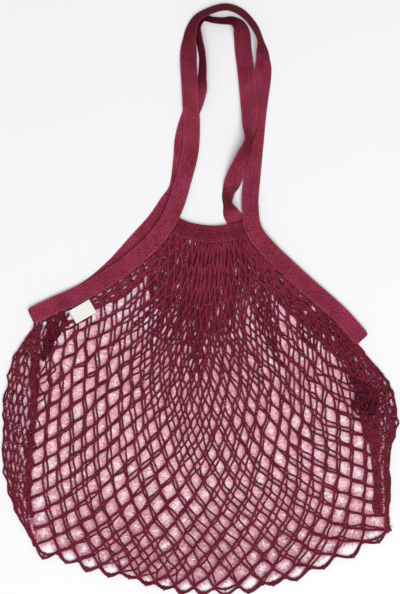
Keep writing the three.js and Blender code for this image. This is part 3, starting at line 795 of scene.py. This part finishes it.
def fibre_piece(name, paths, finish):
    """Fine loose fibres all along the yarn, which lean inwards from the rolled sides."""
    count, below, long = FIBRE_PIECES[name]
    low_down = smooth((LOW_DOWN["from"] - paths[:, 0, 1]) / LOW_DOWN["over"])
    weight = ((paths[:, -1] - paths[:, 0]) ** 2).sum(axis=1) * (1 + LOW_DOWN["more"] * low_down)
    yarn = chance.choice(len(paths), count, p=weight / weight.sum())
    step = chance.integers(0, paths.shape[1] - 1, count)
    between = chance.random((count, 1))
    root = paths[yarn, step] * (1 - between) + paths[yarn, step + 1] * between
    along = unit(paths[yarn, step + 1] - paths[yarn, step])
    side = unit(np.cross(along, (0.0, 0.0, 1.0)))
    left_right = 1.0 - 2.0 * chance.integers(0, 2, (count, 1))
    aside = np.abs(root[:, :1])
    by_edge = ((aside > BY_EDGE["side"])
               | (root[:, 1:2] - BY_EDGE["rise"] * aside < BY_EDGE["bottom"]))
    to_middle = np.sign(((NET_MIDDLE - root[:, :2]) * side[:, :2]).sum(axis=1, keepdims=True))
    if "roll" in name:
        left_right = to_middle
    turn = -np.abs(chance.normal(below, FIBRE["slope"], (count, 1)))
    out = side * left_right * np.cos(turn) + np.cross(side, along) * np.sin(turn)
    shorter = np.where(by_edge & (left_right != to_middle), FIBRE["short"], 1.0)
    long = chance.uniform(*long, (count, 1)) * shorter
    tip = (root + out * (YARN_THICK / 2 + long)
           + along * long * chance.normal(0, FIBRE["lean"], (count, 1)))
    root = root + out * YARN_THICK * FIBRE["root"]
    middle, wide = (root + tip) / 2 + (0.0, 0.0, FIBRE["lift"]), along * FIBRE["wide"] / 2
    points = np.stack([middle + wide, middle - wide, root, tip], 1).reshape(-1, 3)
    points[:, 2] = np.maximum(points[:, 2], FLOOR_GAP)
    sides = np.array([(0, 1, 2), (0, 3, 1), (1, 3, 2), (2, 3, 0)])
    faces = np.arange(count)[:, None, None] * 4 + sides
    heap = Heap()
    heap.add(points, [faces.reshape(-1, 3)], np.zeros((count * 12, 2)))
    return heap.piece(name, finish, "net_yarn", rounded=False)


# Finishes
class Value:
    """A socket in a finish, with the arithmetic that adds Math nodes."""

    def __init__(self, finish, socket):
        self.finish, self.socket = finish, socket

    def maths(self, kind, *others):
        return self.finish.maths(kind, self, *others)

    def __add__(self, other):
        return self.maths("ADD", other)

    def __sub__(self, other):
        return self.maths("SUBTRACT", other)

    def __mul__(self, other):
        return self.maths("MULTIPLY", other)

    def __truediv__(self, other):
        return self.maths("DIVIDE", other)

    def __rsub__(self, other):
        return self.finish.maths("SUBTRACT", other, self)

    def at_least(self, least):
        return self.maths("MAXIMUM", least)

    def at_most(self, most):
        return self.maths("MINIMUM", most)

    def step(self):
        """Smooth step: 0 below 0, 1 above 1."""
        return self.finish.node("ShaderNodeMapRange", {"interpolation_type": "SMOOTHSTEP"},
                                {0: self})


class Finish:
    """The node tree of one material, with its shader."""

    def __init__(self, name, constant):
        self.material = bpy.data.materials.new(name)
        self.material.use_nodes = True
        self.tree = self.material.node_tree
        self.shader = self.tree.nodes["Principled BSDF"]
        for socket, value in constant.items():
            self.shader.inputs[socket].default_value = value

    def node(self, kind, settings=None, inputs=None, output=0):
        made = self.tree.nodes.new(kind)
        for name, value in (settings or {}).items():
            setattr(made, name, value)
        for name, value in (inputs or {}).items():
            self.feed(made.inputs[name], value)
        return Value(self, made.outputs[output])

    def feed(self, socket, value):
        if isinstance(value, Value):
            self.tree.links.new(value.socket, socket)
        else:
            socket.default_value = value

    def maths(self, kind, *values):
        return self.node("ShaderNodeMath", {"operation": kind}, dict(enumerate(values)))

    def mix(self, first, second, factor):
        return self.node("ShaderNodeMix", {"data_type": "RGBA"},
                         {0: factor, 6: first, 7: second}, 2)

    def noise(self, size, detail=2.0):
        """Soft noise from 0 to 1 with blotches of about that size, fixed to the cloth in space."""
        source = self.node("ShaderNodeTexCoord", output="Object")
        return self.node("ShaderNodeTexNoise", {}, {"Vector": source, "Scale": 1 / (size * MM),
                                                   "Detail": detail}, "Fac")

    def along_bag(self):
        """Place along the bag, from its bottom towards its handles."""
        source = self.node("ShaderNodeTexCoord", output="Object")
        return self.node("ShaderNodeSeparateXYZ", {}, {0: source}, 1) / MM

    def cloth_map(self):
        """The two directions of the cloth's own map, as values."""
        source = self.node("ShaderNodeUVMap", {"uv_map": "cloth"}, output="UV")
        split = self.node("ShaderNodeSeparateXYZ", {}, {0: source})
        return split, Value(self, split.socket.node.outputs[1])

    def wave(self, value, pitch):
        """Cosine of a length, one turn for each pitch, from 0 to 1."""
        return (value * (2 * math.pi / pitch)).maths("COSINE") * 0.5 + 0.5

    def bump(self, height, depth):
        settings = {"Height": height, "Distance": depth * MM, "Strength": 1.0}
        self.feed(self.shader.inputs["Normal"],
                  self.node("ShaderNodeBump", {}, settings, "Normal"))

    def colour(self, value):
        self.feed(self.shader.inputs["Base Color"], value)


WINE = {"deep": (0.115, 0.007, 0.017, 1), "bright": (0.39, 0.050, 0.106, 1)}
YARN = {"deep": (0.055, 0.003, 0.008, 1), "plain": (0.165, 0.014, 0.032, 1),
        "bright": (0.29, 0.034, 0.070, 1)}
# Fibre colours: far paler than the yarn, as painted light for what the fibres let through and
# catch; the noise between deep and bright is a painted highlight, and the last colour is a painted
# shade for the bottom of the bag
FIBRES = {"deep": (0.96, 0.42, 0.51, 1), "bright": (0.98, 0.55, 0.63, 1),
          "painted_low_shade": (0.72, 0.29, 0.37, 1)}
CREAM = {"plain": (0.80, 0.77, 0.70, 1), "bright": (0.90, 0.88, 0.83, 1)}
FLOOR = {"plain": (0.855, 0.855, 0.87, 1), "bright": (0.865, 0.865, 0.88, 1)}
COTTON = {"Roughness": 0.85, "Specular IOR Level": 0.12}
MATT = {"Roughness": 0.95, "Specular IOR Level": 0.1}

# Where painted light and shade change along the bag: a start, and the length over which they do
PAINTED_GATHER_LIGHT = (60, 90)
PAINTED_LOW_SHADE = (-190, 170)
PAINTED_ARCH_SHADE = (250, 95)

# Blotches, plies, wales, picks and firm edge of the cloth
PATCH_SIZE = 22
PLY_TURN = 4.2
WALE_PITCH = 2.9
PICK_PITCH = 2.7
PICK_SLANT = 0.6
FIRM_EDGE = (2.2, 1.6)
LABEL_WEAVE = 0.5


def yarn_finish(name, shade=0.0):
    """Two-ply cotton yarn: slanting plies with a fine fuzz, and painted light that makes it lighter
    up towards the mouth; a shade above 0 darkens it all with painted shade.
    """
    finish = Finish(name, COTTON)
    around, along = finish.cloth_map()
    slant = (around * 2 + along / PLY_TURN) * (2 * math.pi)
    plies = slant.maths("COSINE") * 0.5 + 0.5
    fuzz = finish.noise(0.6, 3)
    patch = finish.noise(PATCH_SIZE, 3)
    # Painted light: the yarn grows lighter from a little below the bag's middle up to the mouth,
    # where the bunched net is lit more
    painted_gather_light = ((finish.along_bag() + PAINTED_GATHER_LIGHT[0]) / PAINTED_GATHER_LIGHT[1]).step()
    # A shade above 0 darkens the whole yarn: painted shade
    tone = plies * 0.4 + fuzz * 0.3 + patch * 0.5 + painted_gather_light * 0.24 - shade
    base = finish.mix(YARN["deep"], YARN["plain"], (tone * 1.5 - 0.1).at_most(1.0).at_least(0.0))
    finish.colour(finish.mix(base, YARN["bright"], ((tone - 0.62) * 1.6).at_least(0.0)))
    finish.bump(plies * 0.8 + fuzz * 0.4, 0.35)
    return finish.material


def fibre_finish():
    """Loose fibres: the same dye, painted much paler for the light that single fibres let through
    and catch, with patches of painted highlight; painted shade dulls them towards the bottom of the
    bag.
    """
    finish = Finish("loose_fibres", COTTON)
    # Painted shade: fibres duller towards the bottom of the bag
    painted_low_shade = ((PAINTED_LOW_SHADE[0] - finish.along_bag()) / PAINTED_LOW_SHADE[1]).step()
    lit = finish.mix(FIBRES["deep"], FIBRES["bright"], finish.noise(5, 2))
    finish.colour(finish.mix(lit, FIBRES["painted_low_shade"], painted_low_shade * 0.75))
    return finish.material


def tape_finish(name, light=0.0):
    """Ribbed cotton tape: ribs along it, crossed by slanting picks, with a firmer edge; painted
    shade darkens its steep faces and the handle arches.
    """
    finish = Finish(name, COTTON)
    across, along = finish.cloth_map()
    ribs = finish.wave(across, RIB_PITCH)
    wales = finish.wave(across, WALE_PITCH)
    picks = finish.wave(along + across * PICK_SLANT + wales * 0.5, PICK_PITCH)
    cross = finish.wave(along - across * PICK_SLANT, PICK_PITCH)
    fine = finish.noise(1.1, 3)
    speckle = finish.noise(2.3, 2)
    patch = finish.noise(PATCH_SIZE, 3)
    edge = across.maths("ABSOLUTE") - (TAPE_WIDTH / 2 - FIRM_EDGE[0])
    edge = (edge / FIRM_EDGE[1]).step()
    # Painted shade: faces that stand steep, on rolled tape and at its edges, are darkened
    facing = finish.node("ShaderNodeNewGeometry", output="Normal")
    facing = finish.node("ShaderNodeSeparateXYZ", {}, {0: facing}, 2)
    steep = 1.0 - ((facing - 0.3) / 0.6).step()
    tone = (picks * 0.24 + cross * 0.14 + wales * 0.14 + speckle * 0.65 + fine * 0.2
            + patch * 0.4 + edge * 0.14)
    # Painted shade: the tape is darker up at the handle arches
    bend = ((finish.along_bag() - PAINTED_ARCH_SHADE[0]) / PAINTED_ARCH_SHADE[1]).step()
    level = (tone - 0.9) * 2.2 + 0.5 + light - steep * 0.8 - bend * 0.32
    finish.colour(finish.mix(WINE["deep"], WINE["bright"], level.at_most(1.0).at_least(0.0)))
    finish.bump(picks * 0.6 + cross * 0.3 + wales * 0.4 + ribs * 0.5 + speckle * 0.9, 0.45)
    return finish.material


def label_finish():
    """Plain cream woven label, bare."""
    finish = Finish("cream_label", {"Roughness": 0.75})
    across, along = finish.cloth_map()
    weave = finish.wave(across, LABEL_WEAVE) * 0.5 + finish.wave(along, LABEL_WEAVE) * 0.5
    patch = finish.noise(9, 2)
    finish.colour(finish.mix(CREAM["plain"], CREAM["bright"], weave * 0.4 + patch * 0.7))
    finish.bump(weave, 0.12)
    return finish.material


def floor_finish():
    """Pale matt floor, with the faintest unevenness."""
    finish = Finish("pale_floor", MATT)
    finish.colour(finish.mix(FLOOR["plain"], FLOOR["bright"], finish.noise(400, 2)))
    return finish.material


# Pieces
def label_piece(finish):
    """A folded label of cloth, a little lifted at its free corners."""
    columns, rows = 24, 16
    a, b = np.meshgrid(np.linspace(-0.5, 0.5, columns), np.linspace(-0.5, 0.5, rows),
                       indexing="ij")
    x, y = a * LABEL["long"], b * LABEL["wide"]
    curl = (LABEL["curl"] * (0.5 - b) ** 2 * (0.4 + np.abs(a))
            + LABEL["wave"] * np.sin(7 * a + 3 * b))
    points = [np.stack([x, y, LABEL["high"] + curl + side], -1).reshape(-1, 3)
              for side in (LABEL["half thick"], -LABEL["half thick"])]
    turn = math.radians(LABEL["turn"])
    spin = np.array([[math.cos(turn), math.sin(turn), 0],
                     [-math.sin(turn), math.cos(turn), 0], [0, 0, 1]])
    points = np.concatenate(points) @ spin + np.array([LABEL["x"], LABEL["y"], 0])
    number = np.arange(columns * rows).reshape(columns, rows)
    corner = [number[:-1, :-1], number[1:, :-1], number[1:, 1:], number[:-1, 1:]]
    top = np.stack(corner, -1).reshape(-1, 4)
    rim = np.concatenate([number[:-1, 0], number[-1, :-1], number[:0:-1, -1], number[0, :0:-1]])
    after = np.roll(rim, -1)
    low = columns * rows
    faces = [top, top[:, ::-1] + low, np.stack([rim, rim + low, after + low, after], -1)]
    flat = np.tile(np.stack([x, y], -1).reshape(-1, 2), (2, 1))
    heap = Heap()
    heap.add(points, faces, flat[np.concatenate([f.ravel() for f in faces])])
    return heap.piece("cream_label", finish, "label_cloth")


def stitch_rows(name, rows, finish):
    """Rows of short stitches on top of a tape."""
    middle, across, out, even = tape_course(rows)
    heap = Heap()
    places = np.arange(STITCH["pitch"], even[-1] - STITCH["pitch"], STITCH["pitch"])
    half = STITCH["long"] / 2
    for offset in STITCH["rows"]:
        points = []
        for place, bow in ((places - half, 0.0), (places, STITCH["bow"]), (places + half, 0.0)):
            at, side, up = (np.column_stack([np.interp(place, even, column) for column in array.T])
                            for array in (middle, across, out))
            points.append(at + side * offset + up * (TAPE_THICK / 2 + bow))
        add_yarn(heap, np.stack(points, 1), STITCH["thick"])
    return heap.piece(name, finish, "handle_tape")


def make_floor(finish):
    half, low = FLOOR_METRES
    mesh = bpy.data.meshes.new("floor")
    corners = [(-half, -half, 0), (half, -half, 0), (half, half, 0), (-half, half, 0)]
    mesh.from_pydata(corners, [], [(0, 1, 2, 3)])
    mesh.materials.append(finish)
    floor = bpy.data.objects.new("floor", mesh)
    floor.location.z = low
    bpy.context.collection.objects.link(floor)


def make_lights():
    world = bpy.data.worlds.new("studio")
    bpy.context.scene.world = world
    world.use_nodes = True
    sky = world.node_tree.nodes["Background"]
    sky.inputs["Color"].default_value = (1.0, 1.0, 1.0, 1)
    sky.inputs["Strength"].default_value = SKY
    lamp = bpy.data.lights.new("soft_key", "AREA")
    lamp.shape = "DISK"
    lamp.size = KEY["size"]
    lamp.energy = KEY["energy"]
    key = bpy.data.objects.new("soft_key", lamp)
    key.location = KEY["place"]
    key.rotation_euler = (-key.location).to_track_quat("-Z", "Y").to_euler()
    bpy.context.collection.objects.link(key)


def settle(piece, *nodes):
    """Put a piece on the bag's body, in place of the CAD nodes it dresses."""
    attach(piece, BODY)
    if nodes:
        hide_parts(*nodes)
    return piece


make_camera()
yarn = yarn_finish("wine_yarn")
# Painted shade: the pleats and the folds by the sides get this darkened copy of the yarn, for the
# shade among them
painted_shade_yarn = yarn_finish("painted_shade_wine_yarn", shade=0.3)
tape = tape_finish("wine_tape", light=-0.06)
thread = tape_finish("wine_thread", light=0.5)
band = tape_finish("wine_band", light=-0.42)
fibres = fibre_finish()
net_front, front_bars = net_layer("net_front_layer", "front", yarn)
net_back, back_bars = net_layer("net_back_layer", "back", yarn)
pleat_low, _ = net_layer("net_low_pleats", "low pleat", painted_shade_yarn, pleated)
pleat_high, _ = net_layer("net_high_pleats", "high pleat", painted_shade_yarn, pleated)
front_layer = Layer("front")
settle(net_front, "net_body")
roll_left, roll_left_bars = roll_piece("net_roll_left", front_layer, yarn)
roll_right, roll_right_bars = roll_piece("net_roll_right", front_layer, yarn)
loose = [net_back, pleat_low, pleat_high, roll_left, roll_right,
         bunch_piece("net_bunch_left", yarn), bunch_piece("net_bunch_right", yarn),
         bunch_piece("net_fold_left", painted_shade_yarn), bunch_piece("net_fold_right", painted_shade_yarn),
         fibre_piece("net_front_fibres", front_bars, fibres),
         fibre_piece("net_back_fibres", back_bars, fibres),
         fibre_piece("net_roll_left_fibres", roll_left_bars, fibres),
         fibre_piece("net_roll_right_fibres", roll_right_bars, fibres)]
for piece in loose:
    settle(piece)
front_course = with_folds(tape_course(FRONT_TAPE), BACK_TAPE[0][2])
back_course = tape_course(BACK_TAPE)
band_front_course, band_back_course = tape_course(FRONT_BAND), tape_course(BACK_BAND)
tape_front = settle(tape_piece("tape_front_strap", front_course, tape, True), "tape_front")
tape_back = settle(tape_piece("tape_back_strap", back_course, tape, True), "tape_back")
band_front = settle(tape_piece("mouth_band_front_cloth", band_front_course, band),
                    "mouth_band_front")
band_back = settle(tape_piece("mouth_band_back_cloth", band_back_course, band), "mouth_band_back")
label = settle(label_piece(label_finish()), "label")
settle(stitch_rows("mouth_band_stitches", FRONT_BAND, thread))
strap_lengths = [front_course[3][-1] * MM, back_course[3][-1] * MM]
for cloth, course, under in ((band_back, band_back_course, "net_back_layer"),
                             (band_front, band_front_course, "net_front_layer")):
    course[3][-1] * MM
make_floor(floor_finish())
make_lights()
bpy.context.scene.view_settings.view_transform = "Standard"
bpy.context.scene.view_settings.look = "None"
